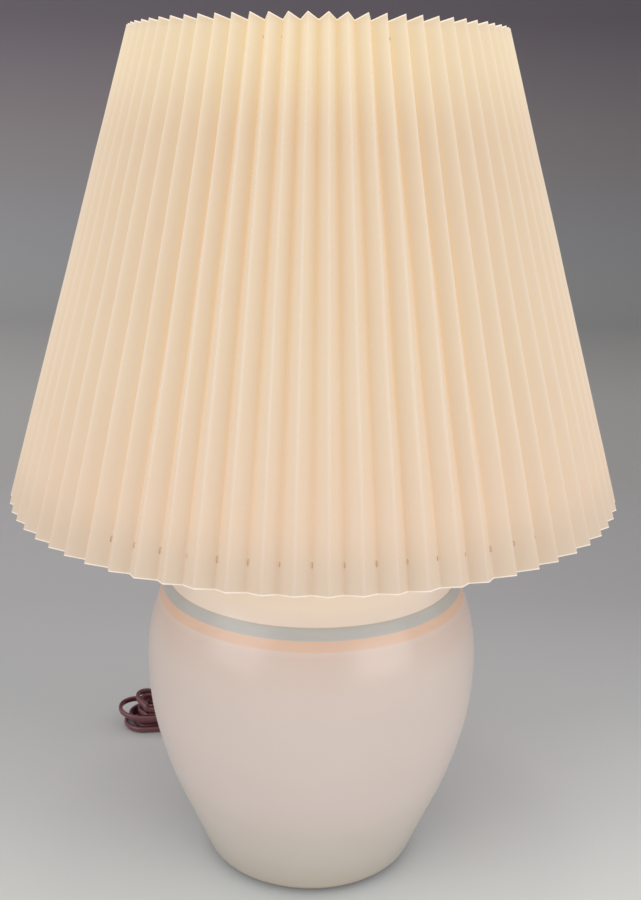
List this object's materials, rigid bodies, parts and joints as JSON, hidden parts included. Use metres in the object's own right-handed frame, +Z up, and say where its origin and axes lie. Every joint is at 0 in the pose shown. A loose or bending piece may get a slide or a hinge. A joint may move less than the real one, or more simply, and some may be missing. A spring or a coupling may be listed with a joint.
{
  "type": "ginger jar lamp",
  "caption": "Table lamp with a glazed ginger jar body, a wide accordion-pleated cloth shade on a harp with a spider ring, a turn-knob socket with a bulb, and a hanked cord with a plug.",
  "frame": {"origin": "centre of the felt pad's underside, on the surface that the lamp stands on", "axes": "+Z up along the lamp's axis, +X to the right and +Y to the back, where the cord leaves the jar; the picture is taken from -Y"},
  "size_m": [0.4366, 0.437, 0.6203],
  "materials": {
    "felt": "soft pressed felt",
    "jar_glaze": "smooth glossy off-white glaze with a grey-green and a peach band",
    "rubber": "soft black rubber",
    "zinc_steel": "zinc-plated steel",
    "cork_gasket": "pressed fibre",
    "brass": "lacquered satin brass",
    "harp_plating": "brass-plated steel wire",
    "socket_brass": "thin drawn brass",
    "fibre_sleeve": "grey-brown fibre board",
    "phenolic": "moulded black phenolic",
    "screw_metal": "thin rolled brass",
    "bulb_glass": "white frosted glass",
    "bulb_cap": "rolled aluminium",
    "black_glass": "black vitrite",
    "solder": "soft solder",
    "shade_cloth": "cream stiffened pleated cloth",
    "white_wire": "white-painted wire",
    "cord_pvc": "brown flexible cord cover",
    "tie_band": "soft plastic band"
  },
  "bodies": {
    "lamp_base": {"felt_pad": "felt", "jar": "jar_glaze", "cord_grommet": "rubber", "cushion_washer": "rubber", "base_washer": "zinc_steel", "base_nut": "zinc_steel", "lamp_pipe": "zinc_steel", "mouth_gasket": "cork_gasket", "vase_cap": "brass", "check_ring": "brass", "neck_spool": "brass", "harp_saddle": "harp_plating", "socket_cap": "socket_brass", "socket_set_screw": "zinc_steel", "socket_shell": "socket_brass", "socket_insulator": "fibre_sleeve", "socket_body": "phenolic", "socket_screw_shell": "screw_metal", "socket_centre_contact": "screw_metal", "terminal_screws": "screw_metal", "inner_cord": "cord_pvc", "cord_lead": "cord_pvc", "cord_hank": "cord_pvc", "cord_tail": "cord_pvc", "hank_tie": "tie_band", "plug_body": "cord_pvc", "plug_blades": "screw_metal"},
    "switch": {"switch_stem": "zinc_steel", "switch_knob": "phenolic"},
    "bulb_tip": {"bulb_contact": "solder"},
    "bulb": {"bulb_glass": "bulb_glass", "bulb_base": "bulb_cap", "bulb_base_insulator": "black_glass"},
    "harp": {"harp_wire": "harp_plating", "harp_crimp": "harp_plating"},
    "ferrule_right": {"harp_ferrule_right": "harp_plating"},
    "ferrule_left": {"harp_ferrule_left": "harp_plating"},
    "stud": {"harp_stud": "brass"},
    "shade": {"shade_cloth": "shade_cloth", "shade_top_ring": "white_wire", "shade_bottom_ring": "white_wire", "spider_hub": "harp_plating", "spider_arms": "harp_plating"},
    "finial_insert": {"finial_insert": "brass"},
    "finial": {"finial_cap": "brass"}
  },
  "joints": [
    {"name": "switch_turn", "type": "hinge", "parent": "lamp_base", "child": "switch", "pos_m": [0, -0.0253, 0.3653], "axis": [0, -1, 0], "continuous": true},
    {"name": "bulb_rise", "type": "slide", "parent": "lamp_base", "child": "bulb_tip", "axis": [0, 0, 1], "range_m": [0, 0.0182]},
    {"name": "bulb_turn", "type": "hinge", "parent": "bulb_tip", "child": "bulb", "pos_m": [0, 0, 0.385], "axis": [0, 0, 1], "range_deg": [0, 1800]},
    {"name": "harp_lift", "type": "slide", "parent": "lamp_base", "child": "harp", "axis": [0, 0, 1], "range_m": [0, 0.06]},
    {"name": "ferrule_right_slide", "type": "slide", "parent": "harp", "child": "ferrule_right", "axis": [0, 0, 1], "range_m": [0, 0.014]},
    {"name": "ferrule_left_slide", "type": "slide", "parent": "harp", "child": "ferrule_left", "axis": [0, 0, 1], "range_m": [0, 0.014]},
    {"name": "shade_turn", "type": "hinge", "parent": "harp", "child": "stud", "pos_m": [0, 0, 0.5931], "axis": [0, 0, 1], "continuous": true},
    {"name": "shade_lift", "type": "slide", "parent": "stud", "child": "shade", "axis": [0, 0, 1], "range_m": [0, 0.32]},
    {"name": "finial_rise", "type": "slide", "parent": "shade", "child": "finial_insert", "axis": [0, 0, 1], "range_m": [0, 0.0104]},
    {"name": "finial_turn", "type": "hinge", "parent": "finial_insert", "child": "finial", "pos_m": [0, 0, 0.6], "axis": [0, 0, 1], "range_deg": [0, 3960]}
  ],
  "couplings": [
    {"joint": "bulb_rise", "follows": "bulb_turn", "m_per_rad": 0.00057751},
    {"joint": "finial_rise", "follows": "finial_turn", "m_per_rad": 0.00014972}
  ]
}
